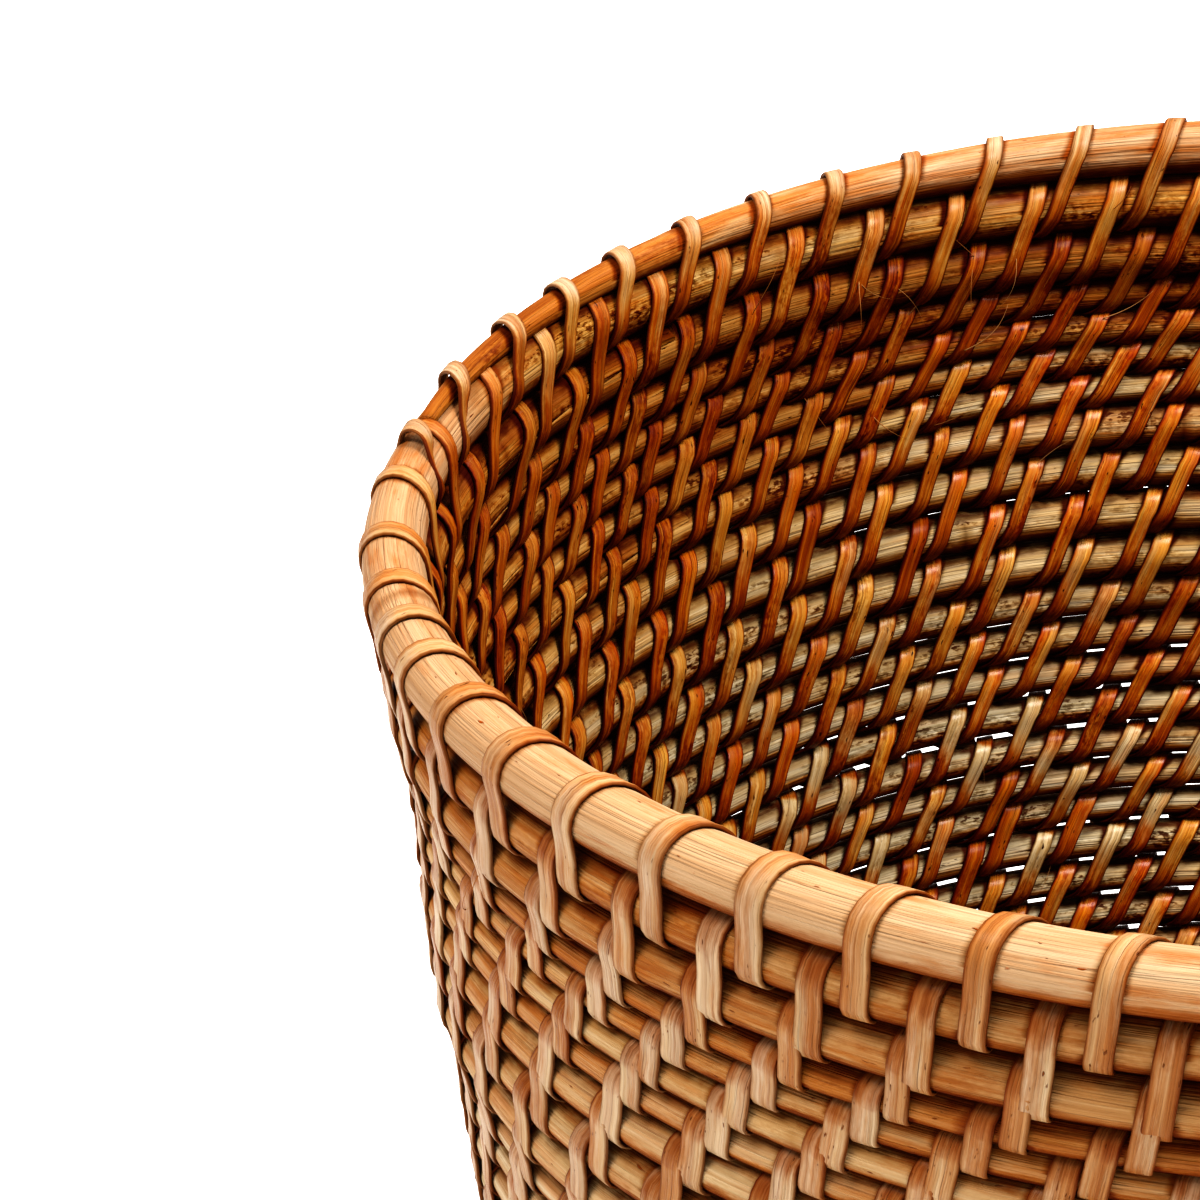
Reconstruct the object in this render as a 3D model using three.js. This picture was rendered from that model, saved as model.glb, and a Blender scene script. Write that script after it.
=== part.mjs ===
// A coiled rattan planter. One long coil of round cane, spliced from several lengths, starts in
// the middle of the floor, winds out to a rounded corner and climbs the leaning wall to the rim,
// where it ends in a long taper. Split-cane strips lash the top two turns together.
//
// Millimetres, +Z up. The origin is on the basket's axis, in the plane that it stands on.

import * as THREE from "three";

// Driving dimensions: millimetres, degrees and turns of the coil.
const RIM_RADIUS = 140; // axis of the basket to the middle of the rim cane
const CANE_DIAMETER = 7.2; // the cane of the floor, which the others have a share of
const WALL_LEAN = 6.5; // how far the wall opens outwards from upright
const CORNER_RADIUS = 18; // bend of the coil's middle line where the floor turns into the wall
const COIL_START_RADIUS = 7; // innermost bend of the floor coil
const START_TURNS = 1; // length of the shaved start of the coil
const START_SHARE = 0.6; // thickness of the shaved start, as a share of the whole cane
const ROW_GAP = 1.1; // room between two turns, where the lashing passes through
const TIP_AZIMUTH = 176; // where the coil ends on the rim
const TIP_TURNS = 0.2; // length of the tapered end of the coil
const TIP_SHARE = 0.2; // thickness left at the very end
const DIAMETER_BLEND_TURNS = 0.5; // length over which one cane's thickness runs into the next

// The lengths of cane from the middle of the floor to the rim. Real canes differ in thickness, so
// each length has its own share of CANE_DIAMETER.
const CANES = [
  { name: "base_cane_1", turns: 6.25, share: 1 },
  { name: "base_cane_2", turns: 3.75, share: 1 },
  { name: "wall_cane_1", turns: 3.5, share: 0.96 },
  { name: "wall_cane_2", turns: 3.75, share: 0.92 },
  { name: "wall_cane_3", turns: 4.25, share: 0.88 },
  { name: "wall_cane_4", turns: 3.75, share: 0.9 },
  { name: "wall_cane_5", turns: 3.25, share: 0.79 },
  { name: "wall_cane_6", turns: 4, share: 0.89 },
  { name: "wall_cane_7", turns: 3.75, share: 1.03 },
  { name: "wall_cane_8", turns: 4, share: 0.69 },
  { name: "wall_cane_9", turns: 1, share: 1.18 },
  { name: "rim_cane", turns: 2, share: 1.2 },
];

// Scarf joints, in which two lengths of cane are cut on a slant and lie one on the other.
const SCARF_STEPS = 2; // length of a scarf in steps of the coil
const SCARF_TIP_LEVEL = 0.5; // height of the cut at its ends, as a share of half the cane
const SCARF_SHOULDER = 0.12; // length of the notch that takes the other cane's end, in steps
const SEAT_GAP = 0.3; // room between two pieces that touch

// The rim lashing.
const LASHINGS_PER_TURN = 55.7; // not a whole number, so the lashings of each turn lie askew
const STRIPS = ["rim_lashing_1", "rim_lashing_2"];
const STRIP_WIDTH = 3.3;
const STRIP_THICKNESS = 0.5;
const STRIP_STAND_OFF = 0.8; // middle of the strip to the corners of the canes it goes round

// How finely the coil is cut up.
const STEPS_PER_TURN = 24;
const SIDES = 6;
const CORNER_SHARE = 0.54; // corner radius of the six-sided cane for a diameter of 1

const FLAT_SHARE = CORNER_SHARE * Math.cos(Math.PI / SIDES);
const LEAN = THREE.MathUtils.degToRad(WALL_LEAN);
const WALL_SLOPE = Math.PI / 2 - LEAN;
const STEP_ANGLE = (2 * Math.PI) / STEPS_PER_TURN;

const canes = placeCanesAlongCoil(CANES);
const LAST_STEP = canes[canes.length - 1].end;

// Steps of the coil

function placeCanesAlongCoil(lengths) {
  let start = 0;
  return lengths.map((cane) => {
    const end = start + Math.round(cane.turns * STEPS_PER_TURN);
    const placed = { ...cane, diameter: cane.share * CANE_DIAMETER, start, end };
    start = end;
    return placed;
  });
}

function smooth(share) {
  const t = THREE.MathUtils.clamp(share, 0, 1);
  return t * t * (3 - 2 * t);
}

// The cane's diameter at a step: each length keeps its own and runs into the next one's.
function diameterAt(step) {
  let diameter = canes[0].diameter;
  for (let i = 1; i < canes.length; i += 1) {
    const share = (step - canes[i].start) / (DIAMETER_BLEND_TURNS * STEPS_PER_TURN) + 0.5;
    diameter += (canes[i].diameter - canes[i - 1].diameter) * smooth(share);
  }
  const fromStart = step / (START_TURNS * STEPS_PER_TURN);
  const fromTip = (LAST_STEP - step) / (TIP_TURNS * STEPS_PER_TURN);
  const shaved = THREE.MathUtils.lerp(START_SHARE, 1, Math.min(fromStart, 1));
  const tapered = THREE.MathUtils.lerp(TIP_SHARE, 1, Math.min(fromTip, 1));
  return diameter * shaved * tapered;
}

// The meridian is the line from the middle of the floor to the rim that every turn crosses.
// It is flat, then an arc, then straight up the leaning wall.
function slopeOnMeridian(s, flatLength) {
  return THREE.MathUtils.clamp((s - flatLength) / CORNER_RADIUS, 0, WALL_SLOPE);
}

function pointOnMeridian(s, flatLength) {
  const slope = slopeOnMeridian(s, flatLength);
  const flat = Math.min(s, flatLength);
  const wall = Math.max(s - flatLength - CORNER_RADIUS * WALL_SLOPE, 0);
  const floorHeight = FLAT_SHARE * canes[0].diameter;
  return {
    r: COIL_START_RADIUS + flat + CORNER_RADIUS * Math.sin(slope) + wall * Math.sin(LEAN),
    z: floorHeight + CORNER_RADIUS * (1 - Math.cos(slope)) + wall * Math.cos(LEAN),
  };
}

// How far apart two turns lie whose canes face each other along the given slope.
function pitchBetween(lower, upper, slope) {
  const face = Math.PI / SIDES;
  const turned = (slope % (2 * face)) - face;
  return (FLAT_SHARE * (lower + upper)) / Math.cos(turned) + ROW_GAP;
}

// Distances along the meridian, one for each step, so that each turn rests on the one before.
function stackTurns(flatLength) {
  const firstPitch = pitchBetween(diameterAt(0), diameterAt(STEPS_PER_TURN), 0);
  const distances = [];
  for (let step = 0; step <= LAST_STEP; step += 1) {
    if (step < STEPS_PER_TURN) {
      distances.push((firstPitch * step) / STEPS_PER_TURN);
    } else {
      const below = step - STEPS_PER_TURN;
      const slope = slopeOnMeridian(distances[below] + firstPitch / 2, flatLength);
      distances.push(distances[below] + pitchBetween(diameterAt(below), diameterAt(step), slope));
    }
  }
  return distances;
}

// The flat floor is as wide as it must be for the rim to come out at its radius.
function findFlatLength() {
  let flatLength = RIM_RADIUS * 0.6;
  for (let pass = 0; pass < 40; pass += 1) {
    const whole = stackTurns(flatLength)[LAST_STEP];
    const corner = CORNER_RADIUS * WALL_SLOPE;
    const overhang = COIL_START_RADIUS + whole - corner + CORNER_RADIUS * Math.sin(WALL_SLOPE);
    const wall = (overhang - RIM_RADIUS) / (1 - Math.sin(LEAN));
    flatLength = (flatLength + whole - corner - wall) / 2;
  }
  return flatLength;
}

const FLAT_LENGTH = findFlatLength();
const distances = stackTurns(FLAT_LENGTH);

// Places and sections on the coil

// A point given by its distance outwards and upwards from the middle of the cane at a step.
function besideCane(step, out, up) {
  const lower = Math.min(Math.floor(step), LAST_STEP - 1);
  const share = step - lower;
  const ends = [lower, lower + 1].map((ring) => {
    const middle = pointOnMeridian(distances[ring], FLAT_LENGTH);
    const azimuth = THREE.MathUtils.degToRad(TIP_AZIMUTH) - (LAST_STEP - ring) * STEP_ANGLE;
    const r = middle.r + out;
    return new THREE.Vector3(r * Math.cos(azimuth), r * Math.sin(azimuth), middle.z + up);
  });
  return ends[0].lerp(ends[1], share);
}

// The six corners of the cane at a step, cut off below and above the given shares of its half
// height. Its top and bottom are flat.
function sectionAt(step, low, high) {
  const corner = CORNER_SHARE * diameterAt(step);
  const half = FLAT_SHARE * diameterAt(step);
  const points = [];
  for (let i = 0; i < SIDES; i += 1) {
    const angle = (2 * Math.PI * i) / SIDES;
    const up = THREE.MathUtils.clamp(corner * Math.sin(angle), low * half, high * half);
    points.push(besideCane(step, corner * Math.cos(angle), up));
  }
  return points;
}

// A closed body through a row of sections with the same number of points, both ends capped.
function loftThrough(sections) {
  const count = sections[0].length;
  const positions = [];
  const addTriangle = (...corners) => corners.forEach((p) => positions.push(p.x, p.y, p.z));
  for (let ring = 0; ring + 1 < sections.length; ring += 1) {
    for (let i = 0; i < count; i += 1) {
      const next = (i + 1) % count;
      const [a, b] = [sections[ring][i], sections[ring][next]];
      const [c, d] = [sections[ring + 1][i], sections[ring + 1][next]];
      addTriangle(a, c, b);
      addTriangle(b, c, d);
    }
  }
  const capEnd = (section, turned) => {
    const middle = new THREE.Vector3();
    section.forEach((p) => middle.addScaledVector(p, 1 / count));
    for (let i = 0; i < count; i += 1) {
      const pair = [section[i], section[(i + 1) % count]];
      addTriangle(middle, ...(turned ? pair.reverse() : pair));
    }
  };
  capEnd(sections[0], false);
  capEnd(sections[sections.length - 1], true);
  const geometry = new THREE.BufferGeometry();
  geometry.setAttribute("position", new THREE.Float32BufferAttribute(positions, 3));
  geometry.computeVertexNormals();
  return geometry;
}

// Canes

// The upper half of a scarf starts a cane, and the lower half of a scarf ends one. The cut runs
// down from one end of the scarf to the other, with a small notch at each end.
function cutLevel(step, scarfStart) {
  const share = (step - scarfStart) / SCARF_STEPS;
  return SCARF_TIP_LEVEL * (1 - 2 * share);
}

function caneGeometry(cane) {
  const first = canes[0] === cane;
  const last = cane.end === LAST_STEP;
  const scarfIn = cane.start - SCARF_STEPS;
  const scarfOut = cane.end - SCARF_STEPS;
  const seat = SEAT_GAP / (FLAT_SHARE * cane.diameter);
  const endPlay = SCARF_SHOULDER * 2;
  const rings = [];
  if (!first) {
    rings.push(sectionAt(scarfIn + endPlay, cutLevel(scarfIn + endPlay, scarfIn) + seat, 1));
    for (let step = scarfIn + 1; step < cane.start; step += 1) {
      rings.push(sectionAt(step, cutLevel(step, scarfIn) + seat, 1));
    }
    rings.push(sectionAt(cane.start, cutLevel(cane.start, scarfIn) + seat, 1));
    rings.push(sectionAt(cane.start + SCARF_SHOULDER, -1, 1));
  } else {
    rings.push(sectionAt(0, -1, 1));
  }
  const lastWhole = last ? cane.end : scarfOut;
  for (let step = cane.start + 1; step <= lastWhole; step += 1) {
    rings.push(sectionAt(step, -1, 1));
  }
  if (!last) {
    const notch = scarfOut + SCARF_SHOULDER;
    rings.push(sectionAt(notch, -1, cutLevel(notch, scarfOut)));
    for (let step = scarfOut + 1; step < cane.end; step += 1) {
      rings.push(sectionAt(step, -1, cutLevel(step, scarfOut)));
    }
    rings.push(sectionAt(cane.end - endPlay, -1, cutLevel(cane.end - endPlay, scarfOut)));
  }
  return loftThrough(rings);
}

// Rim lashing

// One wrap of the strip goes out through the gap under the second turn, up the outside, over the
// rim cane and down the inside. A place on it has its share of the way to the next wrap, the turn
// of cane that it passes (0 is the top one), and its side and level: shares of the cane's corner
// radius outwards and of its flat height upwards.
const WRAP = [
  { share: 0.0, turn: 1, side: 0.5, level: -1 },
  { share: 0.08, turn: 1, side: 1, level: 0 },
  { share: 0.28, turn: 0, side: 1, level: 0 },
  { share: 0.38, turn: 0, side: 0.5, level: 1 },
  { share: 0.48, turn: 0, side: -0.5, level: 1 },
  { share: 0.6, turn: 0, side: -1, level: 0 },
  { share: 0.82, turn: 1, side: -1, level: 0 },
  { share: 0.96, turn: 1, side: -0.5, level: -1 },
];

function wrapPoint(wrap, place) {
  const turned = (wrap + place.share) / LASHINGS_PER_TURN;
  const topStep = LAST_STEP - STEPS_PER_TURN + STEPS_PER_TURN * turned;
  const step = topStep - place.turn * STEPS_PER_TURN;
  const diameter = diameterAt(step);
  const out = place.side * (CORNER_SHARE * diameter + STRIP_STAND_OFF);
  const rest = place.level < 0 ? ROW_GAP / 2 : STRIP_STAND_OFF;
  return besideCane(step, out, place.level * (FLAT_SHARE * diameter + rest));
}

function stripGeometry(firstWrap, wraps) {
  const path = [];
  for (let wrap = firstWrap; wrap < firstWrap + wraps; wrap += 1) {
    WRAP.forEach((place) => path.push(wrapPoint(wrap, place)));
  }
  const sections = path.map((point, i) => {
    const before = path[Math.max(i - 1, 0)];
    const after = path[Math.min(i + 1, path.length - 1)];
    const along = new THREE.Vector3().subVectors(after, before).normalize();
    const round = new THREE.Vector3(-point.y, point.x, 0).normalize();
    const outwards = new THREE.Vector3().crossVectors(along, round).normalize();
    const across = new THREE.Vector3().crossVectors(outwards, along);
    const corner = (w, t) =>
      point
        .clone()
        .addScaledVector(across, (w * STRIP_WIDTH) / 2)
        .addScaledVector(outwards, (t * STRIP_THICKNESS) / 2);
    return [corner(1, -1), corner(-1, -1), corner(-1, 1), corner(1, 1)];
  });
  return { geometry: loftThrough(sections), sections };
}

// Least gap of a winding to itself, measured between the points of one turn and of the next.
function leastGap(rings, apart) {
  let least = Infinity;
  for (let i = 0; i + apart < rings.length; i += 1) {
    for (let j = i + apart - 1; j <= Math.min(i + apart + 1, rings.length - 1); j += 1) {
      for (const a of rings[i]) {
        for (const b of rings[j]) {
          least = Math.min(least, a.distanceTo(b));
        }
      }
    }
  }
  return least;
}

// Materials, with the colours of dry rattan

const RIM_COLOUR = 0xc98f50;
const WALL_COLOUR = 0xa98556;
const FLOOR_COLOUR = 0xa07c50;
const STRIP_COLOUR = 0xa8662c;

function rattan(colour, roughness) {
  return new THREE.MeshStandardMaterial({ color: colour, roughness, metalness: 0 });
}

function caneColour(name) {
  if (name.startsWith("rim")) return RIM_COLOUR;
  return name.startsWith("base") ? FLOOR_COLOUR : WALL_COLOUR;
}

// Assembly

const planter = new THREE.Group();

function addPiece(name, geometry, material) {
  const piece = new THREE.Mesh(geometry, material);
  piece.name = name;
  planter.add(piece);
}

canes.forEach((cane) => addPiece(cane.name, caneGeometry(cane), rattan(caneColour(cane.name), 0.6)));

const wrapsPerStrip = Math.floor((LASHINGS_PER_TURN - 1) / STRIPS.length);
let stripGap = Infinity;
STRIPS.forEach((name, i) => {
  const strip = stripGeometry(i * wrapsPerStrip + 0.5, wrapsPerStrip);
  stripGap = Math.min(stripGap, leastGap(strip.sections, WRAP.length));
  addPiece(name, strip.geometry, rattan(STRIP_COLOUR, 0.45));
});

const rim = pointOnMeridian(distances[LAST_STEP - STEPS_PER_TURN / 2], FLAT_LENGTH);
const coilRings = distances.map((_, step) => sectionAt(step, -1, 1));
console.log(`turns of cane ${(LAST_STEP / STEPS_PER_TURN).toFixed(2)}`);
console.log(`floor radius ${(COIL_START_RADIUS + FLAT_LENGTH).toFixed(1)} mm`);
console.log(`rim cane at radius ${rim.r.toFixed(1)} mm and height ${rim.z.toFixed(1)} mm`);
console.log(`least gap between turns ${leastGap(coilRings, STEPS_PER_TURN).toFixed(2)} mm`);
console.log(`least gap between wraps ${stripGap.toFixed(2)} mm`);

export default planter;
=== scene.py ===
"""A coiled rattan planter. One spliced coil of round cane winds from the middle of the floor out
and up to the rim. Strips of split cane lash each turn to the one before it, slanting on the
inside of the wall and almost upright on the outside."""
import math
from typing import NamedTuple

import bpy
import numpy as np
from mathutils import Matrix, Vector


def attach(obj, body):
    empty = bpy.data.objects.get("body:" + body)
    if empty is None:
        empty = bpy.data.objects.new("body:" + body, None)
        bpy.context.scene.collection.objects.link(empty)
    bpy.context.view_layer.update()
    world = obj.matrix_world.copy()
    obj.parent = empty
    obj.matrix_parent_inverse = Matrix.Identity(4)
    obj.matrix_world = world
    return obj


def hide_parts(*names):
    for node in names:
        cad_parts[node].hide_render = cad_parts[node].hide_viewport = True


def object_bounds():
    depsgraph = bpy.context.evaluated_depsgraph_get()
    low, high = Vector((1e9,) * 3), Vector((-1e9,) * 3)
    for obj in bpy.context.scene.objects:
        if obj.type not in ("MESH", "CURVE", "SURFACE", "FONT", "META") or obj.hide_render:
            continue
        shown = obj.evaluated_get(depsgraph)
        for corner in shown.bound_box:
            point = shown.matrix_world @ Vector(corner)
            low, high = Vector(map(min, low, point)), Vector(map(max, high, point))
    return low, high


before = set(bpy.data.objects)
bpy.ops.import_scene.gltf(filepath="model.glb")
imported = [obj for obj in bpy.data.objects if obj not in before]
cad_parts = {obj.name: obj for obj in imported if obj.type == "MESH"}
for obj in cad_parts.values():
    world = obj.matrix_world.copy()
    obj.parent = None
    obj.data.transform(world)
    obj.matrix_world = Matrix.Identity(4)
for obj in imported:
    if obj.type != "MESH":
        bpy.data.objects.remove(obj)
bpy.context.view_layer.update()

scene = bpy.context.scene
MM = 0.001
TAU = 2 * math.pi

# The coil, with the part's own driving dimensions
RIM_RADIUS = 140 * MM
CANE_DIAMETER = 7.2 * MM
WALL_LEAN = math.radians(6.5)
CORNER_RADIUS = 18 * MM
COIL_START_RADIUS = 7 * MM
START_TURNS = 1
START_SHARE = 0.6
ROW_GAP = 1.1 * MM
TIP_AZIMUTH = math.radians(176)
TIP_TURNS = 0.2
TIP_SHARE = 0.2
DIAMETER_BLEND_TURNS = 0.5
STEPS_PER_TURN = 24
CORNER_SHARE = 0.54
SECTION_SIDES = 6
SCARF_STEPS = 2
SCARF_TIP_LEVEL = 0.5
SPLICE_LINE = 0.06 * MM
LASHINGS_PER_TURN = 55.7
FIRST_FLOOR_GUESS = 0.6
FLOOR_ROUNDS = 40

# Name, turns, share of CANE_DIAMETER, and the opening in mm between one turn and the next
CANES = (
    ("base_cane_1", 6.25, 1.00, 1.30),
    ("base_cane_2", 3.75, 1.00, 1.30),
    ("wall_cane_1", 3.50, 0.96, 1.05),
    ("wall_cane_2", 3.75, 0.92, 1.00),
    ("wall_cane_3", 4.25, 0.88, 0.95),
    ("wall_cane_4", 3.75, 0.90, 0.95),
    ("wall_cane_5", 3.25, 0.79, 0.85),
    ("wall_cane_6", 4.00, 0.89, 0.70),
    ("wall_cane_7", 3.75, 1.03, 0.28),
    ("wall_cane_8", 4.00, 0.69, 0.02),
    ("wall_cane_9", 1.00, 1.18, -0.05),
    ("rim_cane", 2.00, 1.20, -0.10),
)
# The columns of CANES
DIAMETER, OPENING = 2, 3

# How the round canes differ from the part's six-sided ones
FLOOR_RISE = 0.6 * MM
TIP_SETTLES = 1.0 * MM
TIP_FLATTENS = 0.7
PAST_TIP_DROP = 1.8 * MM

# Chance along the coil: size, spacing in steps and seed
CANE_SWAYS_OUT = ((0.22 * MM, 1.7, 11), (0.35 * MM, 6.3, 12))
CANE_SWAYS_UP = ((0.10 * MM, 2.1, 13),)
CANE_SWELLS = ((0.016, 1.3, 21), (0.016, 4.1, 22))
OPENING_VARIES = ((0.45, 3.1, 23),)
WANDER_KNOTS = 4096

# Curves and chance


def smooth(share):
    """0 up to 0, 1 from 1 on, and smooth between them."""
    t = np.clip(share, 0, 1)
    return t * t * (3 - 2 * t)


def fade(value, begin, full):
    """0 up to begin, 1 from full on, and smooth between them."""
    return smooth((value - begin) / (full - begin))


def wander(at, every, seed):
    """Smooth chance along a line: about -1 to 1, with a new value after every so much of it."""
    at = np.asarray(at, float) / every
    knots = np.random.default_rng(seed).uniform(-1, 1, WANDER_KNOTS)
    index = np.floor(at).astype(int)
    t = at - np.floor(at)
    a, b, c, d = (knots[(index + k) % WANDER_KNOTS] for k in (-1, 0, 1, 2))
    return b + 0.5 * t * (c - a + t * (2 * a - 5 * b + 4 * c - d + t * (3 * (b - c) + d - a)))


def chance(at, parts, seed=0):
    """A sum of wanders. Each part has its size, its spacing and what it adds to the seed."""
    return sum(size * wander(at, every, seed + own) for size, every, own in parts)


def running_sum(parts):
    return np.concatenate([[0], np.cumsum(parts)])


def unit(vectors):
    return vectors / np.linalg.norm(vectors, axis=-1, keepdims=True)


def in_space(r, azimuth, z):
    """Points or directions from their distance from the axis, azimuth and height."""
    return np.stack([r * np.cos(azimuth), r * np.sin(azimuth), z], -1)


# The coil

CANE_ENDS = np.cumsum([round(turns * STEPS_PER_TURN) for _, turns, _, _ in CANES])
CANE_STARTS = np.concatenate([[0], CANE_ENDS[:-1]])
LAST_STEP = int(CANE_ENDS[-1])
WALL_SLOPE = math.pi / 2 - WALL_LEAN
# Half the angle of one side of the part's section, and how far that side is from the middle line
HALF_FACE = math.pi / SECTION_SIDES
FLAT_SHARE = CORNER_SHARE * math.cos(HALF_FACE)


def along_canes(step, column):
    """A value that each length of cane has of its own, run into the next one's at each splice."""
    step = np.asarray(step, float)
    value = np.full(step.shape, float(CANES[0][column]))
    for i in range(1, len(CANES)):
        share = (step - CANE_STARTS[i]) / (DIAMETER_BLEND_TURNS * STEPS_PER_TURN) + 0.5
        value += (CANES[i][column] - CANES[i - 1][column]) * smooth(share)
    return value


def rows_from_top(step):
    """How many turns a step is from the tip of the coil."""
    return (LAST_STEP - np.asarray(step, float)) / STEPS_PER_TURN


def diameter_at(step):
    step = np.asarray(step, float)
    from_start = np.clip(step / (START_TURNS * STEPS_PER_TURN), 0, 1)
    from_tip = np.clip(rows_from_top(step) / TIP_TURNS, 0, 1)
    shaved = START_SHARE + (1 - START_SHARE) * from_start
    tapered = TIP_SHARE + (1 - TIP_SHARE) * from_tip
    return along_canes(step, DIAMETER) * CANE_DIAMETER * shaved * tapered


def meridian(s, flat_length):
    """Distance from the axis and height, for a distance along the line from the floor's middle
    to the rim."""
    slope = np.clip((s - flat_length) / CORNER_RADIUS, 0, WALL_SLOPE)
    wall = np.maximum(s - flat_length - CORNER_RADIUS * WALL_SLOPE, 0)
    r = COIL_START_RADIUS + np.minimum(s, flat_length) + CORNER_RADIUS * np.sin(slope)
    z = FLAT_SHARE * CANES[0][DIAMETER] * CANE_DIAMETER + CORNER_RADIUS * (1 - np.cos(slope))
    return r + wall * math.sin(WALL_LEAN), z + wall * math.cos(WALL_LEAN)


def pitch_between(lower, upper, slope):
    """How far apart two turns of the part's canes lie, from their diameters and the slope of the
    line from the floor's middle to the rim."""
    return FLAT_SHARE * (lower + upper) / math.cos(slope % (2 * HALF_FACE) - HALF_FACE) + ROW_GAP


def stack_turns(flat_length):
    """How far along the meridian each step lies, when each turn rests on the one before."""
    diameters = diameter_at(np.arange(LAST_STEP + 1))
    first_pitch = pitch_between(diameters[0], diameters[STEPS_PER_TURN], 0)
    distances = [first_pitch * step / STEPS_PER_TURN for step in range(STEPS_PER_TURN)]
    for step in range(STEPS_PER_TURN, LAST_STEP + 1):
        below = step - STEPS_PER_TURN
        bend = (distances[below] + first_pitch / 2 - flat_length) / CORNER_RADIUS
        slope = min(max(bend, 0), WALL_SLOPE)
        distances.append(distances[below] + pitch_between(diameters[below], diameters[step], slope))
    return np.array(distances)


def find_flat_length():
    """How far the flat floor reaches, for the rim to come out at its radius."""
    flat_length = RIM_RADIUS * FIRST_FLOOR_GUESS
    corner = CORNER_RADIUS * WALL_SLOPE
    for _ in range(FLOOR_ROUNDS):
        whole = stack_turns(flat_length)[-1]
        overhang = COIL_START_RADIUS + whole - corner + CORNER_RADIUS * math.sin(WALL_SLOPE)
        wall = (overhang - RIM_RADIUS) / (1 - math.sin(WALL_LEAN))
        flat_length = (flat_length + whole - corner - wall) / 2
    return flat_length


FLAT_LENGTH = find_flat_length()
DISTANCES = stack_turns(FLAT_LENGTH)


def distance_at(step):
    return np.interp(step, np.arange(LAST_STEP + 1), DISTANCES)


def radius_at(step):
    """How far from the axis the coil is at a step."""
    return meridian(distance_at(step), FLAT_LENGTH)[0]


def tip_share(step):
    """How far into its long taper the end of the coil is: 0 where it starts, 1 at the tip."""
    return np.clip(1 - rows_from_top(step) / TIP_TURNS, 0, 1)


def azimuth_at(step):
    return TIP_AZIMUTH - rows_from_top(step) * TAU


def cane_middle(step):
    """Distance from the axis and height of the cane's middle line. No cane lies quite true."""
    step = np.asarray(step, float)
    r, z = meridian(distance_at(step), FLAT_LENGTH)
    z = z + FLOOR_RISE * (1 - smooth((z - FLAT_SHARE * CANE_DIAMETER) / (2 * CORNER_RADIUS)))
    z = z - TIP_SETTLES * smooth(tip_share(step)) - PAST_TIP_DROP * np.clip(step - LAST_STEP, 0, 1)
    return r + chance(step, CANE_SWAYS_OUT), z + chance(step, CANE_SWAYS_UP)


def cane_radius(step):
    """A round cane fills its room on the coil up to the opening between it and the next turn."""
    bend = (distance_at(step) - FLAT_LENGTH) / CORNER_RADIUS
    slope = np.clip(bend, 0, WALL_SLOPE) % (2 * HALF_FACE)
    room = FLAT_SHARE * diameter_at(step) / np.cos(slope - HALF_FACE)
    opening = along_canes(step, OPENING) * (1 + chance(step, OPENING_VARIES)) * MM
    plain = room + (ROW_GAP - opening) / 2 * (1 - tip_share(step))
    return plain * (1 + chance(step, CANE_SWELLS))


def cane_reach(step, angle):
    """From a cane's middle line to its skin, in a direction where 0 is out of the wall. The
    tapered end is a flat slat."""
    return cane_radius(step) * (1 + TIP_FLATTENS * tip_share(step) * np.cos(angle) ** 2)


def meridian_frame(step):
    """At a step of the upper of two turns: the middles of both canes in the plane through the
    axis, the direction from the lower to the upper, and the one out of the wall."""
    r1, z1 = cane_middle(step)
    r0, z0 = cane_middle(np.maximum(step - STEPS_PER_TURN, 0))
    length = np.hypot(r1 - r0, z1 - z0)
    up_r, up_z = (r1 - r0) / length, (z1 - z0) / length
    return (r0, z0), (r1, z1), (up_r, up_z), (up_z, -up_r)


# Where the lashings lie

# One wrap goes out through the gap under the lower of two canes, up the outside, over the upper
# cane and down the inside. Each row has the share of the way to the next wrap, the cane that
# carries it (0 the lower, 1 the upper), and the direction from there: 0 is out of the wall, 90 up.
WRAP = np.array((
    (0.000, 0.0, -90), (0.018, 0.0, -62), (0.033, 0.0, -38), (0.052, 0.0, -8),
    (0.096, 0.5, 0), (0.138, 1.0, 8), (0.160, 1.0, 42), (0.225, 1.0, 88),
    (0.325, 1.0, 135), (0.425, 1.0, 172), (0.560, 0.5, 180), (0.700, 0.0, 188),
    (0.825, 0.0, 228), (1.000, 0.0, 270),
))
# Half a wrap is as far as a place can be from a strip, and half way is between the two canes
HALF = 0.5
# A direction in which the lower cane is free of the strip
LOWER_FREE_AT = 135
FLOOR_LASHING_SPACING = 11.2 * MM
STRIP_WIDTH = 3.15 * MM
STRIP_THICKNESS = 0.58 * MM
FINE_STEP = 0.25

# The lashings crowd together on one side of the planter: azimuth in degrees, and how many wraps
# ahead of even spacing they are there
CROWDING = np.array((
    (100, 0.52), (150, 0.50), (158, 0.54), (166, 0.42), (176, -0.07), (183, -0.16), (192, -0.54),
    (199, -0.59), (204, -0.39), (208, -0.10), (262, -0.10), (460, 0.52),
))
# and the strips differ in width round the planter: azimuth in degrees, and the width in mm
STRIP_WIDTHS = np.array((
    (-30, 3.3), (70, 3.1), (125, 3.2), (172, 3.5), (196, 4.1), (235, 4.0), (262, 3.7), (330, 3.3),
))
# Chance in the spacing of the wraps: size in wraps, spacing in steps and seed
WRAP_SPACING_VARIES = ((0.06, 1.1, 31), (0.10, 9.7, 32))
# Chance along a strip: size, spacing in wraps, and what is added to the strip's seed
STRIP_STRAYS = ((0.035, 1.6, 0),)
STRIP_LIFTS = ((0.05 * MM, 0.7, 1),)
STRIP_LEANS = ((0.05, 0.6, 2),)
WIDTH_VARIES = ((0.06, 1.3, 3), (0.05, 6, 4))
THICKNESS_VARIES = ((0.10, 1.1, 5),)
STRIP_TONES = ((0.85, 0.9, 6), (0.45, 9, 7))
STRIP_DARKENS = ((1, 0.8, 8),)
STRIP_PALES = ((1, 0.9, 9),)


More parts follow.
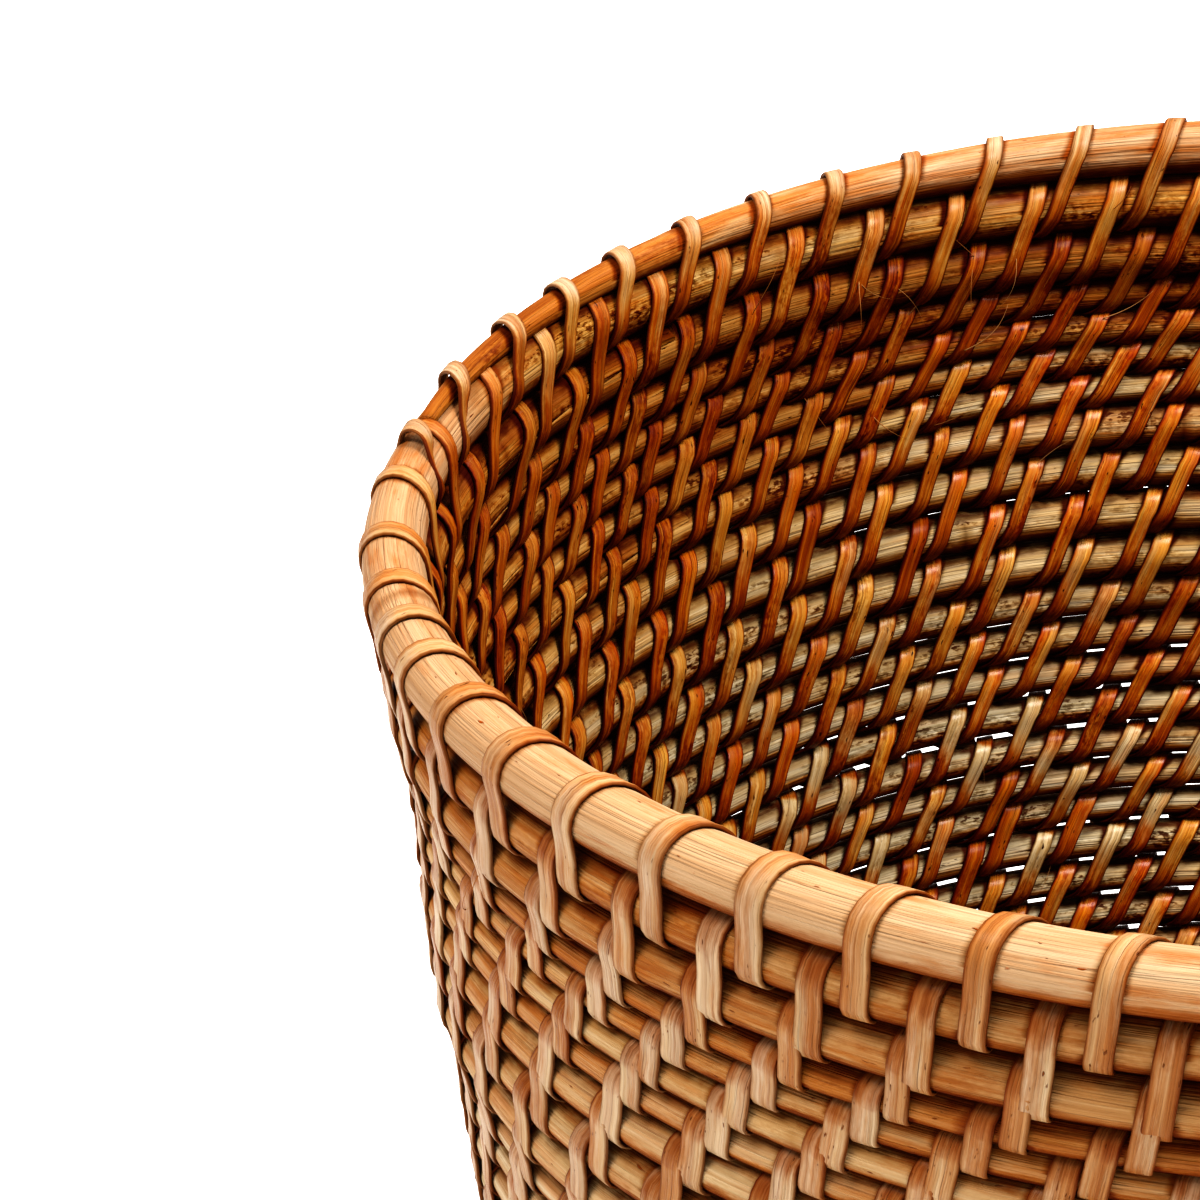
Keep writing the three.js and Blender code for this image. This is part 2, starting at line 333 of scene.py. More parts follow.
def round_planter(step, table):
    """A value from a table that gives it by azimuth in degrees, for a whole turn."""
    start = table[0, 0]
    around = (np.degrees(azimuth_at(step)) - start) % 360 + start
    return np.interp(around, table[:, 0], table[:, 1])


def wraps_per_turn(step):
    return np.minimum(LASHINGS_PER_TURN, TAU * radius_at(step) / FLOOR_LASHING_SPACING)


def wraps_by_step():
    """Steps of the coil and the number of the wrap at each. A wrap begins where the number is
    whole. The numbers are below 0 and end near 0 at the tip."""
    steps = np.arange(LAST_STEP + 1)
    per_turn = wraps_per_turn(steps)
    wraps = running_sum((per_turn[1:] + per_turn[:-1]) / 2) / STEPS_PER_TURN
    fine = np.arange(0, LAST_STEP + FINE_STEP / 2, FINE_STEP)
    even = np.interp(fine, steps, wraps - wraps[-1])
    return fine, even + round_planter(fine, CROWDING) + chance(fine, WRAP_SPACING_VARIES)


STEPS, WRAPS = wraps_by_step()


def wrap_at(step):
    return np.interp(step, STEPS, WRAPS)


def step_of_wrap(wrap):
    past_tip = np.maximum(wrap - WRAPS[-1], 0) * STEPS_PER_TURN / LASHINGS_PER_TURN
    return np.interp(wrap, WRAPS, STEPS) + past_tip


def wrap_lie(share):
    """Carrier and direction for shares of a wrap, run smoothly through the rows of WRAP."""
    before = WRAP[-3:-1] - (1, 0, 360)
    after = WRAP[1:3] + (1, 0, 360)
    rows = np.concatenate([before, WRAP, after])
    at = np.clip(np.searchsorted(rows[:, 0], share, side="right") - 1, 1, len(rows) - 3)
    a, b, c, d = (rows[at + k] for k in (-1, 0, 1, 2))
    width = (c - b)[:, :1]
    t = (share[:, None] - b[:, :1]) / width
    slope_b = (c - a) / (c - a)[:, :1] * width
    slope_c = (d - b) / (d - b)[:, :1] * width
    rise = c - b
    bend = 3 * rise - 2 * slope_b - slope_c
    twist = slope_b + slope_c - 2 * rise
    lie = b + t * (slope_b + t * (bend + t * twist))
    return np.clip(lie[:, 1], 0, 1), lie[:, 2]


def share_beside(direction, carrier):
    """The share of a wrap at which the strip passes a direction of the lower cane (0) or the
    upper one (1), and no number where it doesn't lie on that cane."""
    rows = WRAP[np.abs(WRAP[:, 1] - carrier) <= HALF]
    turned = 0 if carrier else 360 - LOWER_FREE_AT
    angle = (rows[:, 2] + turned) % 360
    # On the lower cane the next wrap begins where one ends
    share = rows[:, 0] if carrier else rows[:, 0] + (rows[:, 0] < HALF)
    order = np.argsort(angle)
    return np.interp((direction + turned) % 360, angle[order], share[order], left=np.nan, right=np.nan)


def strip_distance(step, direction):
    """How far along a cane a place on its skin is from the middle of the nearest strip."""
    nearest = HALF
    for carrier, upper in ((1, step), (0, step + STEPS_PER_TURN)):
        wrap = wrap_at(np.minimum(upper, LAST_STEP)) - share_beside(direction, carrier)
        there = (upper <= LAST_STEP) & (np.round(wrap) < HALF)
        away = np.minimum(wrap % 1, 1 - wrap % 1)
        nearest = np.minimum(nearest, np.where(np.isnan(away) | ~there, HALF, away))
    return nearest * TAU * radius_at(step) / wraps_per_turn(step)


def on_wrap(upper, carrier, angle, reach):
    """Places round two canes, and the directions out to them from their middle line. carrier is
    where that line lies, from the lower cane (0) to the upper one (1)."""
    (r0, z0), (r1, z1), (up_r, up_z), (out_r, out_z) = meridian_frame(upper)
    normal_r = np.cos(angle) * out_r + np.sin(angle) * up_r
    normal_z = np.cos(angle) * out_z + np.sin(angle) * up_z
    r = r0 + (r1 - r0) * carrier + reach * normal_r
    z = z0 + (z1 - z0) * carrier + reach * normal_z
    azimuth = azimuth_at(upper)
    return in_space(r, azimuth, z), in_space(normal_r, azimuth, normal_z)


# Meshes from rows of sections


def tube_mesh(sections, values):
    """A closed skin round sections of the same number of points. Each value goes on the mesh as
    an attribute, and may differ from section to section and round them."""
    rings, sides, _ = sections.shape
    points = np.concatenate([sections.reshape(-1, 3), sections[:1].mean(1), sections[-1:].mean(1)])
    ring, side = np.meshgrid(np.arange(rings - 1), np.arange(sides), indexing="ij")
    a = (ring * sides + side).ravel()
    b = (ring * sides + (side + 1) % sides).ravel()
    quads = np.stack([a, b, b + sides, a + sides], -1)
    turn = np.arange(sides)
    first, last = rings * sides, rings * sides + 1
    end = (rings - 1) * sides
    start_cap = np.stack([np.full(sides, first), (turn + 1) % sides, turn], -1)
    end_cap = np.stack([np.full(sides, last), end + turn, end + (turn + 1) % sides], -1)
    made = {}
    for key, value in values.items():
        value = np.atleast_2d(value)
        value = np.broadcast_to(value, (rings, sides, *value.shape[2:])).reshape(rings, sides, -1)
        ends = value[:1].mean(1), value[-1:].mean(1)
        made[key] = np.concatenate([value.reshape(rings * sides, -1), *ends])
    return points, quads, np.concatenate([start_cap, end_cap]), made


def join_skins(skins):
    points, quads, caps, values = zip(*skins)
    bases = running_sum([len(own) for own in points])
    quads, caps = (np.concatenate([own + base for own, base in zip(x, bases)]) for x in (quads, caps))
    values = {key: np.concatenate([own[key] for own in values]) for key in values[0]}
    return np.concatenate(points), quads, caps, values


def add_piece(name, skin, material):
    points, quads, caps, values = skin
    corners = np.concatenate([quads.ravel(), caps.ravel()])
    mesh = bpy.data.meshes.new(name)
    mesh.vertices.add(len(points))
    mesh.vertices.foreach_set("co", points.astype(np.float32).ravel())
    mesh.loops.add(len(corners))
    mesh.loops.foreach_set("vertex_index", corners.astype(np.int32))
    starts = np.concatenate([np.arange(len(quads)) * 4, quads.size + np.arange(len(caps)) * 3])
    mesh.polygons.add(len(starts))
    mesh.polygons.foreach_set("loop_start", starts.astype(np.int32))
    mesh.update(calc_edges=True)
    mesh.polygons.foreach_set("use_smooth", np.ones(len(starts), bool))
    for key, value in values.items():
        vector = value.shape[1] == 3
        layer = mesh.attributes.new(key, "FLOAT_VECTOR" if vector else "FLOAT", "POINT")
        layer.data.foreach_set("vector" if vector else "value", value.astype(np.float32).ravel())
    mesh.validate()
    piece = bpy.data.objects.new(name, mesh)
    scene.collection.objects.link(piece)
    piece.data.materials.append(material)
    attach(piece, "root")
    return piece


# Where the canes and strips are stained, gone pale or clean, and where shade is painted on them

# Sides of the planter: the azimuth in degrees, and the cosines of the angle from there between
# which each fades in. The left is round the tip of the coil, and the far side is to the right.
LEFT = (185, 0.35, 0.95)
RIGHT = (320, -0.14, 0.52)
FAR_SIDE = (60, 0.50, 0.85)
# Between which rows from the top an effect comes or goes
DARK_ROWS_BEGIN = (1.1, 1.9)
DARK_ROWS_END = (2.4, 6.0)
DARK_ROWS_END_LEFT = (4.4, 13.0)
OUTSIDE_BEGINS = (1.1, 1.6)
OUTSIDE_ENDS = (2.6, 6.1)
PALE_STRIPS_BEGIN = (8, 16)
PALE_CANES_BEGIN = (1, 2)
PALER_CANES_BEGIN = (10, 18)
RIM_ENDS = (1.0, 1.05)
# The edges of stains don't run straight: size in rows, spacing in steps, and seeds
STAIN_WAVERS = ((0.25, 5, 0),)
CANE_SEED, STRIP_SEED = 61, 62
# How strong each stain is
CANE_STAIN, CANE_STAIN_LEFT = 0.60, 0.35
STRIP_STAIN, STRIP_STAIN_LEFT = 0.62, 0.42
DARK_STRIP_STAIN = 0.50
# Between which levels of chance a strip becomes dark or pale
DARK_STRIP_LEVELS, PALE_STRIP_LEVELS = (0.2, 0.8), (-0.2, 0.5)
OUTSIDE_STAIN = 0.34
# Painted shade on the left of the rim
RIM_SHADE_LEFT = 0.28
TIP_STAIN = 0.55
TIP_STAIN_FROM, TIP_STAIN_STEEPNESS = 0.35, 2.2
BELOW_TIP_STAIN = 0.35
BELOW_TIP_ROW, BELOW_TIP_SPREAD = 1.01, 0.06
# The share of the outside stain that is lost low down, on the left and on the right
STAIN_LOST, STAIN_LOST_RIGHT = 0.8, 0.4
# How pale canes are under the rim and low down, and what they lack elsewhere; what they lack on
# the far side is painted shade
PALE_CANES, PALER_CANES = 0.6, 0.9
FAR_SIDE_SHADE = 0.35
PALE_LACKS_OUTSIDE, PALE_LACKS_OUTSIDE_RIGHT = 0.2, 0.7
CLEAN_OUTSIDE = 0.6
TIP_UNCLEAN = 0.85
TIP_UNCLEAN_FROM, TIP_UNCLEAN_STEEPNESS = 0.3, 1.8


def towards(step, side):
    """1 on one side of the planter and 0 away from it."""
    azimuth, begin, full = side
    return fade(np.cos(azimuth_at(step) - math.radians(azimuth)), begin, full)


def blend(a, b, share):
    return a + (b - a) * share


def wavering_rows(step, seed):
    return rows_from_top(step) + chance(step, STAIN_WAVERS, seed)


def dark_rows(step, seed):
    """The rows of the wall inside that are made darkest: the first ones under the rim, and further
    down on the left."""
    rows, left = wavering_rows(step, seed), towards(step, LEFT)
    end = (blend(a, b, left) for a, b in zip(DARK_ROWS_END, DARK_ROWS_END_LEFT))
    return fade(rows, *DARK_ROWS_BEGIN) * (1 - fade(rows, *end))


def cane_stain(step, outer):
    """Inside it is in the dark rows, and outside under the rim. The tip of the coil and the cane
    that it lies on are stained too. The left of the rim gets painted shade."""
    left = towards(step, LEFT)
    rows = wavering_rows(step, CANE_SEED)
    inside = blend(CANE_STAIN, CANE_STAIN_LEFT, left) * dark_rows(step, CANE_SEED)
    lost = blend(STAIN_LOST, STAIN_LOST_RIGHT, towards(step, RIGHT))
    outside = OUTSIDE_STAIN * fade(rows, *OUTSIDE_BEGINS) * (1 - lost * fade(rows, *OUTSIDE_ENDS))
    tip = TIP_STAIN * smooth(TIP_STAIN_STEEPNESS * (tip_share(step) - TIP_STAIN_FROM))
    from_below_tip = (rows_from_top(step) - BELOW_TIP_ROW) / BELOW_TIP_SPREAD
    below_tip = BELOW_TIP_STAIN * np.exp(-(from_below_tip**2))
    # Painted shade on the left of the rim, carried with the stain
    rim = RIM_SHADE_LEFT * left * (1 - fade(rows_from_top(step), *RIM_ENDS))
    return np.maximum(blend(inside, outside, outer), np.maximum(np.maximum(tip, below_tip), rim))


def strip_stain(step, outer):
    strength = blend(STRIP_STAIN, STRIP_STAIN_LEFT, towards(step, LEFT))
    return strength * dark_rows(step, STRIP_SEED) * (1 - outer)


def dark_strip(wrap, seed, outer):
    """Some strips inside are much darker than their neighbours."""
    return DARK_STRIP_STAIN * fade(chance(wrap, STRIP_DARKENS, seed), *DARK_STRIP_LEVELS) * (1 - outer)


def pale_strip(step, wrap, seed, outer):
    """Low down inside, some strips have gone pale; less so on the far side, as painted shade."""
    low_down = fade(rows_from_top(step), *PALE_STRIPS_BEGIN)
    some = fade(chance(wrap, STRIP_PALES, seed), *PALE_STRIP_LEVELS)
    return low_down * (1 - FAR_SIDE_SHADE * towards(step, FAR_SIDE)) * some * (1 - outer)


def pale_cane(step, outer):
    """Under the dark rows the canes have gone pale, and outside more so on the left. On the far side
    they are less pale, as painted shade.
    """
    rows = rows_from_top(step)
    strength = blend(PALE_CANES, PALER_CANES, fade(rows, *PALER_CANES_BEGIN))
    strength = strength * (1 - FAR_SIDE_SHADE * towards(step, FAR_SIDE))
    unstained = (1 - dark_rows(step, CANE_SEED)) * fade(rows, *PALE_CANES_BEGIN)
    lacks = blend(PALE_LACKS_OUTSIDE, PALE_LACKS_OUTSIDE_RIGHT, towards(step, RIGHT))
    return strength * unstained * (1 - lacks * outer)


def clean_cane(step, outer):
    """1 on the rim, less so at its tip, and in part on the outside of the planter."""
    tip = TIP_UNCLEAN * smooth(TIP_UNCLEAN_STEEPNESS * (tip_share(step) - TIP_UNCLEAN_FROM))
    rim = (1 - fade(rows_from_top(step), *RIM_ENDS)) * (1 - tip)
    return np.maximum(rim, CLEAN_OUTSIDE * outer)


# Canes

CANE_SIDES = 22
CANE_ROUND = TAU * np.arange(CANE_SIDES) / CANE_SIDES - math.pi / 2
CANE_TURNOVER = 0.7
RING_SPACING = 2.0 * MM
FINE_RINGS_PER_STEP = 8
JOINT_SPACING = 240 * MM
FIRST_JOINT = (0.3, 0.9)
JOINT_STRAYS = 0.25
JOINT_SWELL = 0.045
JOINT_LENGTH = 2.2 * MM
JOINT_LINE = 0.5 * MM
JOINT_SEED = 100
# No cane is quite round: how many bulges it has round it, and their height
CANE_LOBES = ((2, 0.012), (3, 0.007), (5, 0.004))
LOBE_DRIFT, LOBE_DRIFT_EVERY, LOBE_SEED, LOBE_SEEDS = 2, 0.11, 300, 10
CANE_TONES_EVERY, CANE_TONE_SEED = 0.16, 500
# How far the finish of each cane is shifted from that of the one before
CANE_FINISH_SHIFT = 3.7
# Painted shade lies in the upper and lower parts of a cane's skin, where it meets the turns
# above and below, by the sine of the direction, but not on top of the rim
CREVICE_SHADE_BEGINS = (0.42, 0.92)
OPEN_TOP_ENDS = (0.99, 1.05)
# Painted shade on the under side of a cane, reaching further up where the rows are dark
UNDER_SHADE_FROM, UNDER_SHADE_FROM_IN_DARK_ROWS, UNDER_SHADE_SPREAD = 0.12, 0.3, 0.75


def outward(angle, sharpness):
    """1 where a skin faces out of the planter, and 0 where it faces in."""
    return smooth(0.5 + sharpness * np.cos(angle))


def ring_steps(first, last):
    """Steps from first to last that lie RING_SPACING apart on the coil, and how far along it
    they are."""
    fine = np.linspace(first, last, max(int((last - first) * FINE_RINGS_PER_STEP), 2))
    r = radius_at(fine)
    length = running_sum((r[1:] + r[:-1]) / 2 * np.diff(fine)) * TAU / STEPS_PER_TURN
    even = np.linspace(0, length[-1], int(length[-1] / RING_SPACING) + 1)
    return np.interp(even, length, fine), even


def from_joints(index, length):
    """How far the places along a cane are from its nearest joint."""
    rng = np.random.default_rng(JOINT_SEED + index)
    joints = np.arange(rng.uniform(*FIRST_JOINT) * JOINT_SPACING, length[-1], JOINT_SPACING)
    joints = joints + rng.uniform(-JOINT_STRAYS, JOINT_STRAYS, len(joints)) * JOINT_SPACING
    return np.abs(length[:, None] - joints[None]).min(1) if len(joints) else length + 1


def cut_scarf(start, side, steps, radius, out, up):
    """The slanted cut of a splice, from the step where it starts. side is 1 where the cane lies
    on the one before it, and -1 where it lies under the next."""
    share = (steps - start) / SCARF_STEPS
    level = SCARF_TIP_LEVEL * (1 - 2 * share) * radius + side * SPLICE_LINE
    level = np.where((share >= 0) & (share <= 1), level, -side * 2 * radius)[:, None]
    cut = side * up < side * level
    half_width = np.sqrt(np.maximum(out**2 + up**2 - level**2, 0))
    return np.where(cut, np.clip(out, -half_width, half_width), out), np.where(cut, level, up)


def cane_section(index, steps, length, swell):
    """How far out and up the skin of a cane is from its middle line, at each ring and side."""
    shape = np.ones((len(steps), CANE_SIDES))
    for lobe, size in CANE_LOBES:
        drift = wander(length, LOBE_DRIFT_EVERY, LOBE_SEED + LOBE_SEEDS * index + lobe) * LOBE_DRIFT
        shape += size * np.cos(lobe * CANE_ROUND + drift[:, None])
    reach = cane_reach(steps[:, None], CANE_ROUND) * shape * (1 + swell[:, None])
    out, up = reach * np.cos(CANE_ROUND), reach * np.sin(CANE_ROUND)
    radius = cane_radius(steps)
    if index > 0:
        out, up = cut_scarf(CANE_STARTS[index] - SCARF_STEPS, 1, steps, radius, out, up)
    if index < len(CANES) - 1:
        out, up = cut_scarf(CANE_ENDS[index] - SCARF_STEPS, -1, steps, radius, out, up)
    return out, up


def cane_skin(index):
    steps, length = ring_steps(CANE_STARTS[index] - (SCARF_STEPS if index else 0), CANE_ENDS[index])
    joint = from_joints(index, length)
    out, up = cane_section(index, steps, length, JOINT_SWELL * np.exp(-((joint / JOINT_LENGTH) ** 2)))
    r, z = cane_middle(steps)
    _, _, (up_r, up_z), (out_r, out_z) = meridian_frame(np.maximum(steps, STEPS_PER_TURN))
    skin_r = r[:, None] + out * out_r[:, None] + up * up_r[:, None]
    skin_z = z[:, None] + out * out_z[:, None] + up * up_z[:, None]
    step, height = steps[:, None], np.sin(CANE_ROUND)
    outer = outward(CANE_ROUND, CANE_TURNOVER)
    lower_side = (np.degrees(CANE_ROUND) % 360 + 90) % 360 - 90
    below_a_turn = np.where(height > 0, fade(rows_from_top(step), *OPEN_TOP_ENDS), 1)
    under_shade_from = UNDER_SHADE_FROM + UNDER_SHADE_FROM_IN_DARK_ROWS * dark_rows(step, CANE_SEED) * (1 - outer)
    laid = np.broadcast_to(length[:, None] + CANE_FINISH_SHIFT * index, out.shape)
    tone = wander(length, CANE_TONES_EVERY, CANE_TONE_SEED + index)
    return tube_mesh(in_space(skin_r, azimuth_at(step), skin_z), {
        "laid": np.stack([laid, out, up], -1),
        "outer": outer,
        "tone": tone[:, None],
        "stain": cane_stain(step, outer),
        "clean": clean_cane(step, outer),
        "straw": pale_cane(step, outer),
        # Distance to the nearest strip, for the painted contact shadow beside it
        "beside": strip_distance(step, lower_side),
        # Painted shade where the cane meets the turns above and below
        "crevice_shade": fade(np.abs(height), *CREVICE_SHADE_BEGINS) * below_a_turn,
        # Painted shade on the cane's under side
        "under": smooth((under_shade_from - height) / UNDER_SHADE_SPREAD),
        "joint": np.exp(-((joint / JOINT_LINE) ** 2))[:, None],
    })


# Lashings

# A strip's section, in shares of its width and thickness
STRIP_SECTION = np.array((
    (-0.50, -0.28), (-0.50, 0.18), (-0.465, 0.38), (-0.38, 0.49), (0.00, 0.53), (0.38, 0.49),
    (0.465, 0.38), (0.50, 0.18), (0.50, -0.28), (0.44, -0.50), (-0.44, -0.50),
))
WRAP_POINTS = 36
STRIP_SAG = 0.05
STRIP_CLEARANCE = 0.08 * MM
STRIP_TURNOVER = 0.8
LOOSE_AT_TIP = 0.8 * MM
LOOSE_ROWS = 1.3 * TIP_TURNS
EDGE_SHARPNESS = 2.2
# The finish of a strip is shifted by a number of metres below this one
STRIP_FINISH_SHIFTS = 97
# The rows from the top and the directions round the cane over which the outside look of a strip
# on the rim goes over into the look inside
RIM_LOOK_ENDS = (0.6, 1.6)
RIM_LOOK_TURNS = (130, 200)
# In shares of a wrap. A strip gets painted shade where it goes into and out of the gap between
# two turns and on its lower end inside, and the finish has run on it where it goes over the upper
# turn outside
INTO_GAP, OUT_OF_GAP = (0.76, 1), (0, 0.05)
LOW_END_SHADE, RUN_OUTSIDE = (0.45, 0.80), (0.11, 0.16)
LOW_END_SHADE_STRENGTH, RUN_OUTSIDE_STRENGTH = 0.8, 0.5
INSIDE_FROM = 0.3


def even_wrap(points=400):
    """Shares of the length of one wrap, and the shares of WRAP at those places, for canes of the
    usual size."""
    share = np.linspace(0, 1, points)
    carrier, direction = wrap_lie(share)
    angle = np.radians(direction)
    radius = 0.5 * CANE_DIAMETER
    out = radius * np.cos(angle)
    up = (CANE_DIAMETER + ROW_GAP) * carrier + radius * np.sin(angle)
    around = share * TAU * RIM_RADIUS / LASHINGS_PER_TURN
    length = running_sum(np.sqrt(np.diff(out) ** 2 + np.diff(up) ** 2 + np.diff(around) ** 2))
    even = np.linspace(0, 1, points)
    return even, np.interp(even * length[-1], length, share)


EVEN_WRAP = even_wrap()


def strip_skin(first_wrap, last_wrap, seed):
    """One unbroken strip, from one wrap to another."""
    wrap = np.linspace(first_wrap, last_wrap, int((last_wrap - first_wrap) * WRAP_POINTS) + 1)
    # Points lie evenly along the strip, not evenly round the coil
    share = np.interp(wrap % 1, *EVEN_WRAP)
    upper = step_of_wrap(np.floor(wrap) + share + chance(wrap, STRIP_STRAYS, seed))
    lower = np.maximum(upper - STEPS_PER_TURN, 0)
    carrier, direction = wrap_lie(share)
    angle = np.radians(direction)
    on_lower, on_upper = cane_reach(lower, angle), cane_reach(upper, angle)
    taut = (on_lower + (on_upper - on_lower) * carrier) * (1 - STRIP_SAG * np.sin(np.pi * carrier) ** 2)
    loose = LOOSE_AT_TIP * (1 - fade(rows_from_top(upper), 0, LOOSE_ROWS)) * carrier
    clear = STRIP_THICKNESS / 2 + STRIP_CLEARANCE + chance(wrap, STRIP_LIFTS, seed)
    path, normal = on_wrap(upper, carrier, angle, taut + clear + loose)
    along = unit(np.gradient(path, axis=0))
    across = unit(np.cross(normal, along))
    face = np.cross(along, across)
    lean = chance(wrap, STRIP_LEANS, seed)[:, None]
    across, face = across + lean * face, face - lean * across
    width = round_planter(upper, STRIP_WIDTHS) * MM * (1 + chance(wrap, WIDTH_VARIES, seed))
    thickness = STRIP_THICKNESS * (1 + chance(wrap, THICKNESS_VARIES, seed))
    sideways = STRIP_SECTION[:, 0] * width[:, None]
    outwards = STRIP_SECTION[:, 1] * thickness[:, None]
    sections = path[:, None] + across[:, None] * sideways[..., None] + face[:, None] * outwards[..., None]
    length = running_sum(np.linalg.norm(np.diff(path, axis=0), axis=1))
    laid = np.broadcast_to(length[:, None] + seed % STRIP_FINISH_SHIFTS, sideways.shape)
    on_rim = 1 - fade(rows_from_top(upper), *RIM_LOOK_ENDS)
    outer = np.maximum(outward(angle, STRIP_TURNOVER), on_rim * (1 - fade(direction, *RIM_LOOK_TURNS)))
    low_end_shade = LOW_END_SHADE_STRENGTH * fade(share, *LOW_END_SHADE)
    run_outside = RUN_OUTSIDE_STRENGTH * fade(share, *RUN_OUTSIDE) * (1 - on_rim)
    # Painted shade where the strip goes into the gap between two turns and comes out of it
    gap_shade = np.maximum(fade(share, *INTO_GAP), 1 - fade(share, *OUT_OF_GAP))
    stain = np.maximum(strip_stain(upper, outer), dark_strip(wrap, seed, outer))
    return tube_mesh(sections, {
        "laid": np.stack([laid, sideways, outwards], -1),
        "outer": outer[:, None],
        "tone": chance(wrap, STRIP_TONES, seed)[:, None],
        "stain": stain[:, None],
        # Distance from the strip's edges, for painted shade along them
        "beside": STRIP_WIDTH / 2 + EDGE_SHARPNESS * (width[:, None] / 2 - np.abs(sideways)),
        "crevice_shade": gap_shade[:, None],
        # Painted shade on the lower end inside, and the run of finish over the upper turn outside
        "under": np.where(share > INSIDE_FROM, low_end_shade, run_outside)[:, None],
        "joint": 0.0,
        "straw": pale_strip(upper, wrap, seed, outer)[:, None],
    })


# In wraps: a strip's length, and how far from the gap between two turns it starts and stops
STRIP_WRAPS = (60, 76)
SHORTEST_STRIP = 12
STRIP_STARTS, STRIP_STOPS = 0.02, 0.03
STRIP_SEEDS = 10**6


def lashings_between(wrap, stop, seed):
    """The strips that make the wraps from one number to another, in skins joined as one."""
    rng = np.random.default_rng(seed)
    skins = []
    while wrap < stop:
        end = min(wrap + int(rng.integers(*STRIP_WRAPS)), stop)
        if stop - end < SHORTEST_STRIP:
            end = stop
        skins.append(strip_skin(wrap + STRIP_STARTS, end - STRIP_STOPS, int(rng.integers(1, STRIP_SEEDS))))
        wrap = end
    return join_skins(skins)


# Stray hairs

FIBRE_COUNT = 190
FIBRE_POINTS = 14
FIBRE_SIDES = 5
FIBRE_SEED = 83
FIBRE_LENGTHS = (3, 11)
FIBRE_RADII = (0.05, 0.13)
FIBRE_TAPER = 0.75
FIBRE_STEEPNESS = (0.4, 1)
FIBRE_LIFTS = (0.05, 0.30)
LIFTS_MORE_INSIDE = 1.4
FIBRE_ARCH = 2.2
FIBRE_CURL = 0.5
FIBRE_ROOT = 0.3 * MM
FIBRE_OUTER = 0.6
FIBRE_BESIDE = 1.0
LOWEST_FIBRE_TURN = 18
HIGHEST_FIBRE_WRAP = -45
# One of so many is under the back of the rim, which has the most: rows, and azimuths in degrees
BACK_FIBRE_EVERY = 4
BACK_ROWS, BACK_AZIMUTHS = (1, 6), (70, 140)
# The share of the hairs that are outside, and the shares of a wrap where hairs are
FIBRES_OUTSIDE = 0.45
OUTSIDE_SHARES, INSIDE_SHARES = (0.08, 0.22), (0.3, 0.85)


def fibre_skin(rng, at_back):
    """A hair of split cane that has lifted from the edge of a strip."""
    wrap = rng.uniform(wrap_at(STEPS_PER_TURN * LOWEST_FIBRE_TURN), HIGHEST_FIBRE_WRAP)
    if at_back:
        rows = rng.integers(*BACK_ROWS) + (math.degrees(TIP_AZIMUTH) - rng.uniform(*BACK_AZIMUTHS)) / 360
        wrap = wrap_at(LAST_STEP - rows * STEPS_PER_TURN)
    outside = rng.random() < FIBRES_OUTSIDE
    share = rng.uniform(*(OUTSIDE_SHARES if outside else INSIDE_SHARES))
    step = np.array([step_of_wrap(math.floor(wrap) + share)])
    carrier, direction = wrap_lie(np.array([share]))
    (start,), (face,) = on_wrap(step, carrier, np.radians(direction), cane_radius(step) + STRIP_THICKNESS)
    azimuth = azimuth_at(step[0])
    around = rng.uniform(-1, 1) * np.array((-math.sin(azimuth), math.cos(azimuth), 0))
    along = unit(around + np.array((0, 0, rng.choice((-1, 1)) * rng.uniform(*FIBRE_STEEPNESS))))
    side = np.cross(face, along)
    length = rng.uniform(*FIBRE_LENGTHS) * MM
    lift = rng.uniform(*FIBRE_LIFTS) * (1 if outside else LIFTS_MORE_INSIDE)
    curl = rng.uniform(-FIBRE_CURL, FIBRE_CURL)
    t = np.linspace(0, 1, FIBRE_POINTS)[:, None]
    path = start - FIBRE_ROOT * face
    path = path + length * (along * t + face * lift * np.sin(t * FIBRE_ARCH) + side * curl * t * t)
    radius = rng.uniform(*FIBRE_RADII) * MM * (1 - FIBRE_TAPER * t)
    turn = TAU * np.arange(FIBRE_SIDES) / FIBRE_SIDES
    ring = np.cos(turn)[None, :, None] * face + np.sin(turn)[None, :, None] * side
    sections = path[:, None] + radius[:, None] * ring
    laid = np.zeros(sections.shape)
    laid[..., 0] = length * t
    values = {"laid": laid, "tone": rng.uniform(-1, 1), "beside": FIBRE_BESIDE, "outer": FIBRE_OUTER}
    return tube_mesh(sections, values | dict.fromkeys(("stain", "straw", "crevice_shade", "under", "joint"), 0.0))


def stray_fibres():
    rng = np.random.default_rng(FIBRE_SEED)
    return join_skins([fibre_skin(rng, number % BACK_FIBRE_EVERY == 0) for number in range(FIBRE_COUNT)])


# Finishes


